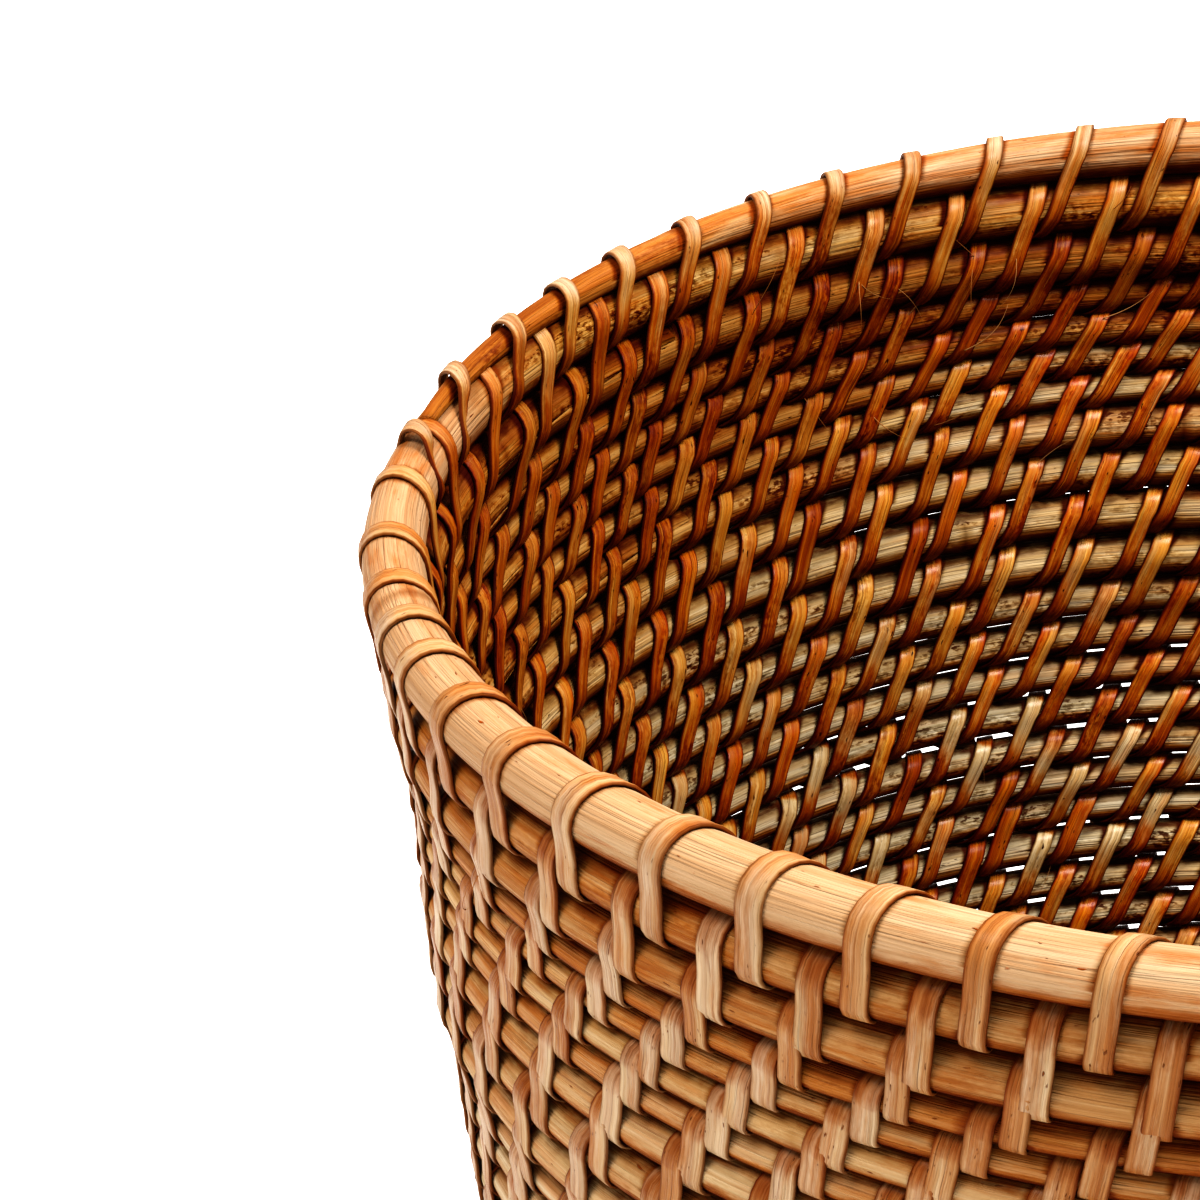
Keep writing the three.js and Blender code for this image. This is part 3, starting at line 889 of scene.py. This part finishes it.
class Finish:
    """Adds nodes to one tree and joins them."""

    def __init__(self, tree):
        self.tree = tree

    def feed(self, socket, value):
        """Joins a socket to another, or gives it a number, a vector or a colour."""
        if isinstance(value, bpy.types.NodeSocket):
            self.tree.links.new(value, socket)
        else:
            socket.default_value = (*value, 1.0) if socket.type == "RGBA" else value

    def add(self, kind, values=None, **settings):
        node = self.tree.nodes.new(kind)
        for key, value in settings.items():
            setattr(node, key, value)
        for key, value in (values or {}).items():
            self.feed(node.inputs[key], value)
        return node

    def maths(self, operation, a, b=0.0, clamp=False):
        return self.add("ShaderNodeMath", {0: a, 1: b}, operation=operation, use_clamp=clamp).outputs[0]

    def times(self, product, *others):
        for other in others:
            product = self.maths("MULTIPLY", product, other)
        return product

    def stretch(self, value, low, high, to_low=0.0, to_high=1.0):
        values = {"Value": value, "From Min": low, "From Max": high, "To Min": to_low, "To Max": to_high}
        return self.add("ShaderNodeMapRange", values, clamp=True).outputs["Result"]

    def between(self, share, a, b):
        """a where share is 0, b where it is 1."""
        return self.stretch(share, 0.0, 1.0, a, b)

    def mix(self, share, a, b):
        """One colour where share is 0, another where it is 1."""
        node = self.add("ShaderNodeMix", data_type="RGBA", blend_type="MIX", clamp_factor=True)
        for key, kind, value in (("Factor", "VALUE", share), ("A", "RGBA", a), ("B", "RGBA", b)):
            self.feed(next(s for s in node.inputs if s.name == key and s.type == kind), value)
        return next(s for s in node.outputs if s.type == "RGBA")

    def attribute(self, name, output="Fac"):
        return self.add("ShaderNodeAttribute", attribute_name=name).outputs[output]

    def noise(self, laid, pattern):
        waves = {0: laid, 1: (pattern.along, pattern.across, pattern.across)}
        vector = self.add("ShaderNodeVectorMath", waves, operation="MULTIPLY").outputs[0]
        values = {"Vector": vector, "Scale": 1.0, "Detail": pattern.detail, "Roughness": pattern.roughness}
        return self.add("ShaderNodeTexNoise", values).outputs["Fac"]

    def patches(self, laid, pattern):
        return self.stretch(self.noise(laid, pattern), pattern.low, pattern.high)


class Pattern(NamedTuple):
    """Noise in the skin: waves per metre along the cane and across it, how fine its detail is,
    the levels of it that become 0 and 1, and its roughness."""
    along: float
    across: float
    detail: float
    low: float = 0.0
    high: float = 1.0
    roughness: float = 0.55


BROAD_FIBRES = Pattern(16, 1000, 1.0, 0.32, 0.68)
THIN_FIBRES = Pattern(55, 3200, 2.0, 0.30, 0.70)
PORES = Pattern(420, 1500, 1.0)
SPLIT_LINES = Pattern(7, 330, 0.0)
SPLIT_BREAKS = Pattern(30, 90, 1.0, 0.62, 0.44)
CLOUDS = Pattern(45, 260, 5.0, 0.39, 0.61, 0.68)
GREYING = Pattern(16, 420, 3.0, 0.46, 0.68)
UNEVENNESS = Pattern(260, 600, 3.0)
SMOKE = Pattern(30, 170, 4.0, 0.46, 0.64, 0.70)
MOTTLING = Pattern(700, 1500, 2.0, 0.42, 0.60)

# The level of noise above which a pore shows, from no pores to many
PORE_LEVELS = (0.80, 0.56)
PORE_CONTRAST = 14.0
SPLIT_SHARPNESS = 75.0
MARK_DEPTH = 1.2
TONE_STRENGTH = 0.13
# Painted contact shadow beside a strip, and along its own edges: where it is lost and where it is
# full, from the strip's edge
CONTACT_SHADE_REACH = (1.3 * MM, 0.05 * MM)
CONTACT_SHADE_RAGGED = 0.9 * MM
CONTACT_SHADE_FALLOFF = 1.6
SHADE_AND_DIRT_DEEPENS = 1.5
# Painted shade between the turns is uneven: levels of noise, and what is left of the shade at each
CREVICE_SHADE_UNEVEN = (0.3, 0.6, 0.45, 1.0)
NOISE_MIDDLE = 0.5
# The painted shade on under sides and lower ends, and the run of finish, have ragged edges
SHADE_AND_RUN_RAGGED = 0.8
SHADE_AND_RUN_BEGINS = (0.0, 0.15)
STAIN_AND_SHADE_WARM = 0.8
# The stain and painted shade over which a skin takes on its tint and then goes dark, and what is
# left of the darkening in pale patches
TINT_BEGINS, SOAK_AND_SHADE_BEGINS = (0.0, 0.5), (0.15, 1.0)
SOAK_AND_SHADE_LEFT = 0.75
DEEP_BEGINS = (0.35, 1.0)

FLOAT, COLOUR, VECTOR = "NodeSocketFloat", "NodeSocketColor", "NodeSocketVector"


def group(name, inputs, outputs):
    """A group of shader nodes that has these sockets, and the sockets of its inputs."""
    tree = bpy.data.node_groups.new(name, "ShaderNodeTree")
    for in_out, sockets in (("INPUT", inputs), ("OUTPUT", outputs)):
        for kind, labels in sockets:
            for label in labels:
                tree.interface.new_socket(label, in_out=in_out, socket_type=kind)
    finish = Finish(tree)
    return finish, finish.add("NodeGroupInput").outputs


def fibre_group():
    """Rattan fibres that run along the cane, the dark pores among them, and fine splits."""
    nodes, given = group(
        "rattan_fibres", [(VECTOR, ["Laid"]), (FLOAT, ["Fineness", "Pores", "Splits"])],
        [(FLOAT, ["Fibres", "Marks", "Height"])],
    )
    scaled = {0: given["Laid"], "Scale": given["Fineness"]}
    fine = nodes.add("ShaderNodeVectorMath", scaled, operation="SCALE").outputs[0]
    broad, thin = nodes.patches(fine, BROAD_FIBRES), nodes.patches(fine, THIN_FIBRES)
    fibres = nodes.maths("ADD", nodes.times(broad, 0.5), nodes.times(thin, 0.5))
    above = nodes.maths("SUBTRACT", nodes.noise(fine, PORES), nodes.between(given["Pores"], *PORE_LEVELS))
    pores = nodes.maths("MULTIPLY", above, PORE_CONTRAST, clamp=True)
    line = nodes.maths("SUBTRACT", nodes.noise(fine, SPLIT_LINES), NOISE_MIDDLE)
    line = nodes.maths("ABSOLUTE", line)
    line = nodes.maths("SUBTRACT", 1.0, nodes.times(line, SPLIT_SHARPNESS), clamp=True)
    splits = nodes.times(line, nodes.patches(fine, SPLIT_BREAKS), given["Splits"])
    marks = nodes.maths("MAXIMUM", pores, splits)
    height = nodes.maths("SUBTRACT", fibres, nodes.times(marks, MARK_DEPTH))
    nodes.add("NodeGroupOutput", {"Fibres": fibres, "Marks": marks, "Height": height})
    return nodes.tree


def weather_group():
    """Patches where the skin is paler or more orange, greyed fibre, painted shade along the edges
    of the strips and between the turns, soot, and painted shade on the under sides together
    with where the finish has run."""
    nodes, given = group(
        "rattan_weather", [(VECTOR, ["Laid"]), (FLOAT, ["Tone", "Beside", "Crevice", "Under"])],
        [(FLOAT, ["Patches", "Grey", "Shade and dirt", "Soot", "Shade and run"])],
    )
    laid = given["Laid"]
    clouds = nodes.maths("ADD", nodes.noise(laid, CLOUDS), nodes.times(given["Tone"], TONE_STRENGTH))
    uneven = nodes.noise(laid, UNEVENNESS)
    swing = nodes.maths("SUBTRACT", uneven, NOISE_MIDDLE)
    # Painted contact shadow beside the strips
    edge = nodes.maths("ADD", given["Beside"], nodes.times(swing, CONTACT_SHADE_RAGGED))
    edge = nodes.stretch(edge, *(STRIP_WIDTH / 2 + reach for reach in CONTACT_SHADE_REACH))
    edge = nodes.maths("POWER", edge, CONTACT_SHADE_FALLOFF)
    # Painted shade between the turns
    between = nodes.times(given["Crevice"], nodes.stretch(uneven, *CREVICE_SHADE_UNEVEN))
    # Painted shade on the under sides, and the run of finish
    run = nodes.maths("ADD", given["Under"], nodes.times(swing, SHADE_AND_RUN_RAGGED))
    nodes.add("NodeGroupOutput", {
        "Patches": nodes.stretch(clouds, CLOUDS.low, CLOUDS.high),
        "Grey": nodes.patches(laid, GREYING),
        "Shade and dirt": nodes.maths("ADD", edge, between, clamp=True),
        "Soot": nodes.times(nodes.patches(laid, SMOKE), nodes.patches(laid, MOTTLING)),
        "Shade and run": nodes.times(nodes.stretch(run, 0.0, 1.0), nodes.stretch(given["Under"], *SHADE_AND_RUN_BEGINS)),
    })
    return nodes.tree


def colour_group():
    """The colour of rattan from its fibres, its staining, its weathering and the shade painted on it."""
    shades = ["Pale", "Warm", "Stained", "Deep", "Greyed"]
    strengths = ["Fibres", "Marks", "Patches", "Stain", "Grey", "Shade and dirt", "Lines"]
    nodes, given = group("rattan_colour", [(COLOUR, shades), (FLOAT, strengths)], [(COLOUR, ["Color"])])
    pale, warm, patches, stain = (given[key] for key in ("Pale", "Warm", "Patches", "Stain"))
    # The stain here also carries the painted shade of the canes' under sides and the strips' lower ends
    # inside
    warmth = nodes.maths("ADD", patches, nodes.times(stain, STAIN_AND_SHADE_WARM), clamp=True)
    skin = nodes.mix(given["Grey"], nodes.mix(patches, pale, warm), given["Greyed"])
    skin = nodes.mix(nodes.stretch(stain, *TINT_BEGINS), skin, nodes.mix(warmth, pale, warm))
    soak_and_shade = nodes.times(nodes.stretch(stain, *SOAK_AND_SHADE_BEGINS), nodes.between(patches, SOAK_AND_SHADE_LEFT, 1.0))
    skin = nodes.mix(soak_and_shade, skin, given["Stained"])
    # Grain lines, soot, dark joints and painted shade deepen a colour as they darken it
    lines = nodes.times(nodes.maths("SUBTRACT", 1.0, given["Fibres"]), given["Lines"])
    depth = nodes.maths("ADD", 1.0, nodes.maths("ADD", lines, nodes.times(given["Shade and dirt"], SHADE_AND_DIRT_DEEPENS)))
    skin = nodes.add("ShaderNodeGamma", {"Color": skin, "Gamma": depth}).outputs[0]
    skin = nodes.mix(given["Marks"], skin, given["Deep"])
    # Where the painted shade and dirt are darkest, the skin goes to the deep colour
    skin = nodes.mix(nodes.stretch(given["Shade and dirt"], *DEEP_BEGINS), skin, given["Deep"])
    nodes.add("NodeGroupOutput", {"Color": skin})
    return nodes.tree


FIBRES, WEATHER, COLOURING = fibre_group(), weather_group(), colour_group()

# What is left of each effect in a kind of place
SOOT_OUTSIDE = 0.5
SHADE_AND_DIRT_INSIDE, SHADE_AND_DIRT_OUTSIDE, SHADE_AND_DIRT_WHERE_CLEAN = 0.96, 0.74, 0.75
LINES_WHERE_CLEAN = 0.55
VARNISH_WHERE_CLEAN = 0.15
VARNISH_WHERE_STAINED = 0.3
# The painted shade and dirt, and the stain, over which the varnish is lost
VARNISH_ENDS, VARNISH_THINS = (0.0, 0.8), (0.0, 0.5)
# and how much each effect counts
JOINT_GRIME = 0.8
GREY_FIBRE = 0.45
PAINTED_SHADE_ROUGHENS = 0.2
COAT_ROUGHNESS = 0.25


def rattan(
    name, pale, warm, stained, deep, greyed, soot, clean_colours, clean_where, fineness, pores, splits,
    lines, gloss, shine, coat, relief,
):
    """A finish for rattan. clean_colours are pale, warm and deep for where the attribute named
    by clean_where is 1: the rim for canes, and the outside of the planter for strips."""
    material = bpy.data.materials.new(name)
    material.use_nodes = True
    material.node_tree.nodes.clear()
    nodes = Finish(material.node_tree)
    laid, outer, stain = nodes.attribute("laid", "Vector"), nodes.attribute("outer"), nodes.attribute("stain")
    clean = nodes.attribute(clean_where)
    fibres = nodes.add("ShaderNodeGroup", {
        "Laid": laid, "Fineness": fineness, "Pores": pores, "Splits": splits,
    }, node_tree=FIBRES).outputs
    weather = nodes.add("ShaderNodeGroup", {
        "Laid": laid, "Tone": nodes.attribute("tone"), "Beside": nodes.attribute("beside"),
        "Crevice": nodes.attribute("crevice_shade"), "Under": nodes.attribute("under"),
    }, node_tree=WEATHER).outputs
    sooty = nodes.times(
        weather["Soot"], nodes.between(clean, soot, 0.0), nodes.between(outer, 1.0, SOOT_OUTSIDE),
    )
    # Painted shade, with the dark joints and the soot
    dark = nodes.maths("MAXIMUM", weather["Shade and dirt"], nodes.times(nodes.attribute("joint"), JOINT_GRIME))
    dark = nodes.times(
        nodes.maths("MAXIMUM", dark, sooty), nodes.between(outer, SHADE_AND_DIRT_INSIDE, SHADE_AND_DIRT_OUTSIDE),
        nodes.between(clean, 1.0, SHADE_AND_DIRT_WHERE_CLEAN),
    )
    grey = nodes.times(weather["Grey"], GREY_FIBRE)
    pale, warm, deep = (nodes.mix(clean, a, b) for a, b in zip((pale, warm, deep), clean_colours))
    colour = nodes.add("ShaderNodeGroup", {
        "Pale": pale, "Warm": warm, "Stained": stained, "Deep": deep, "Greyed": greyed,
        "Fibres": fibres["Fibres"], "Marks": fibres["Marks"], "Patches": weather["Patches"],
        "Stain": nodes.maths("MAXIMUM", stain, weather["Shade and run"]),
        "Grey": nodes.maths("ADD", grey, nodes.attribute("straw"), clamp=True),
        "Shade and dirt": dark, "Lines": nodes.between(clean, lines, LINES_WHERE_CLEAN * lines),
    }, node_tree=COLOURING).outputs["Color"]
    smooth_skin, rough_skin = gloss
    rough = nodes.between(fibres["Fibres"], rough_skin, smooth_skin)
    rough = nodes.maths("ADD", rough, nodes.times(weather["Shade and dirt"], PAINTED_SHADE_ROUGHENS), clamp=True)
    bump = nodes.add("ShaderNodeBump", {"Height": fibres["Height"], "Strength": 1.0, "Distance": relief * MM})
    varnish = nodes.times(
        nodes.between(clean, coat, VARNISH_WHERE_CLEAN * coat), nodes.stretch(dark, *VARNISH_ENDS, 1.0, 0.0),
        nodes.stretch(stain, *VARNISH_THINS, 1.0, VARNISH_WHERE_STAINED),
    )
    shader = nodes.add("ShaderNodeBsdfPrincipled", {
        "Base Color": colour, "Roughness": rough, "Normal": bump.outputs[0],
        "Specular IOR Level": shine, "Coat Weight": varnish, "Coat Roughness": COAT_ROUGHNESS,
    })
    nodes.add("ShaderNodeOutputMaterial", {"Surface": shader.outputs[0]})
    return material


CANE = rattan(
    "rattan_cane", pale=(0.50, 0.325, 0.125), warm=(0.43, 0.200, 0.036), stained=(0.20, 0.056, 0.0045),
    deep=(0.034, 0.0016, 0.0002), greyed=(0.50, 0.43, 0.31), soot=0.95,
    clean_colours=((0.435, 0.290, 0.170), (0.375, 0.155, 0.043), (0.30, 0.060, 0.0030)), clean_where="clean",
    fineness=1.0, pores=0.22, splits=0.30, lines=0.70, gloss=(0.42, 0.62), shine=0.03, coat=0.08, relief=0.30,
)
STRIP = rattan(
    "split_cane", pale=(0.58, 0.34, 0.088), warm=(0.52, 0.195, 0.011), stained=(0.20, 0.040, 0.0008),
    deep=(0.034, 0.0016, 0.0002), greyed=(0.56, 0.45, 0.29), soot=0.55,
    clean_colours=((0.46, 0.330, 0.220), (0.37, 0.182, 0.068), (0.17, 0.045, 0.0050)), clean_where="outer",
    fineness=1.3, pores=0.30, splits=0.35, lines=1.0, gloss=(0.30, 0.46), shine=0.04, coat=0.25, relief=0.26,
)

# The pieces

RIM_LASHING_SEED = 41
RIM_STRIP_GAP = 0.05
LAST_WRAP_END = 0.9
WALL_LASHING_SEED = 700

for index, (node, _, _, _) in enumerate(CANES):
    cane = add_piece(f"rattan_{node}", cane_skin(index), CANE)
    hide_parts(node)

first_rim_wrap = math.floor(wrap_at(LAST_STEP - STEPS_PER_TURN))
middle_wrap = first_rim_wrap // 2
rim_strips = ((first_rim_wrap, middle_wrap - RIM_STRIP_GAP), (middle_wrap, LAST_WRAP_END))
for number, (first, last) in enumerate(rim_strips):
    strip = strip_skin(first + STRIP_STARTS, last, RIM_LASHING_SEED + number)
    lashing = add_piece(f"lashing_of_rim_{number + 1}", strip, STRIP)
    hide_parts(f"rim_lashing_{number + 1}")

for index, (node, _, _, _) in enumerate(CANES):
    first = math.ceil(wrap_at(max(CANE_STARTS[index], STEPS_PER_TURN)))
    last = min(math.ceil(wrap_at(CANE_ENDS[index])), first_rim_wrap)
    strips = lashings_between(first, last, WALL_LASHING_SEED + index)
    add_piece(f"lashing_of_{node}", strips, STRIP)

add_piece("stray_fibres", stray_fibres(), STRIP)

# Floor, light and camera

GROUND_SIZE, GROUND_COLOUR, GROUND_ROUGHNESS = 3.6, (0.92, 0.92, 0.92, 1), 0.9
# Name, place, the point it shines at, diameter and power
LIGHTS = (
    ("key_light", (-1.0, -0.7, 2.2), (0, 0, 0.15), 0.9, 48),
    ("fill_light", (1.0, -0.2, 2.2), (-0.1, 0, 0.15), 0.9, 64),
    ("back_light", (0.3, 1.4, 1.8), (0, 0.1, 0), 1.0, 24),
)
# How bright the world is as a light, and how bright the camera sees it
WORLD_LIGHT, WORLD_SEEN = 0.40, 1.0
CAMERA_AT = Vector((0, -0.5967, 0.49658))
CAMERA_RIGHT = Vector((0.98476, 0.17244, -0.02261))
CAMERA_UP = Vector((-0.05536, 0.43407, 0.89917))
CAMERA_LENS = 132.3

low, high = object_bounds()
bpy.ops.mesh.primitive_plane_add(size=GROUND_SIZE, location=(0, 0, low.z))
ground = bpy.context.object
ground.name = "ground"
pale_floor = bpy.data.materials.new("pale_floor")
pale_floor.use_nodes = True
floor_inputs = pale_floor.node_tree.nodes["Principled BSDF"].inputs
floor_inputs["Base Color"].default_value = GROUND_COLOUR
floor_inputs["Roughness"].default_value = GROUND_ROUGHNESS
ground.data.materials.append(pale_floor)

for name, place, aim, size, power in LIGHTS:
    data = bpy.data.lights.new(name, "AREA")
    data.shape = "DISK"
    data.size, data.energy = size, power
    light = bpy.data.objects.new(name, data)
    light.location = place
    light.rotation_mode = "QUATERNION"
    light.rotation_quaternion = (Vector(aim) - Vector(place)).to_track_quat("-Z", "Y")
    scene.collection.objects.link(light)

world = bpy.data.worlds.new("white_studio")
world.use_nodes = True
sky = Finish(world.node_tree)
background = world.node_tree.nodes["Background"]
background.inputs["Color"].default_value = (1, 1, 1, 1)
seen = sky.add("ShaderNodeLightPath").outputs["Is Camera Ray"]
sky.feed(background.inputs["Strength"], sky.between(seen, WORLD_LIGHT, WORLD_SEEN))
scene.world = world
scene.view_settings.view_transform = "Standard"
scene.view_settings.look = "High Contrast"

camera_data = bpy.data.cameras.new("camera")
camera_data.lens = CAMERA_LENS
camera = bpy.data.objects.new("camera", camera_data)
right = CAMERA_RIGHT.normalized()
back = right.cross(CAMERA_UP).normalized()
up = back.cross(right)
turned = Matrix((right, up, back)).transposed().to_4x4()
camera.matrix_world = Matrix.Translation(CAMERA_AT) @ turned
scene.collection.objects.link(camera)
scene.camera = camera
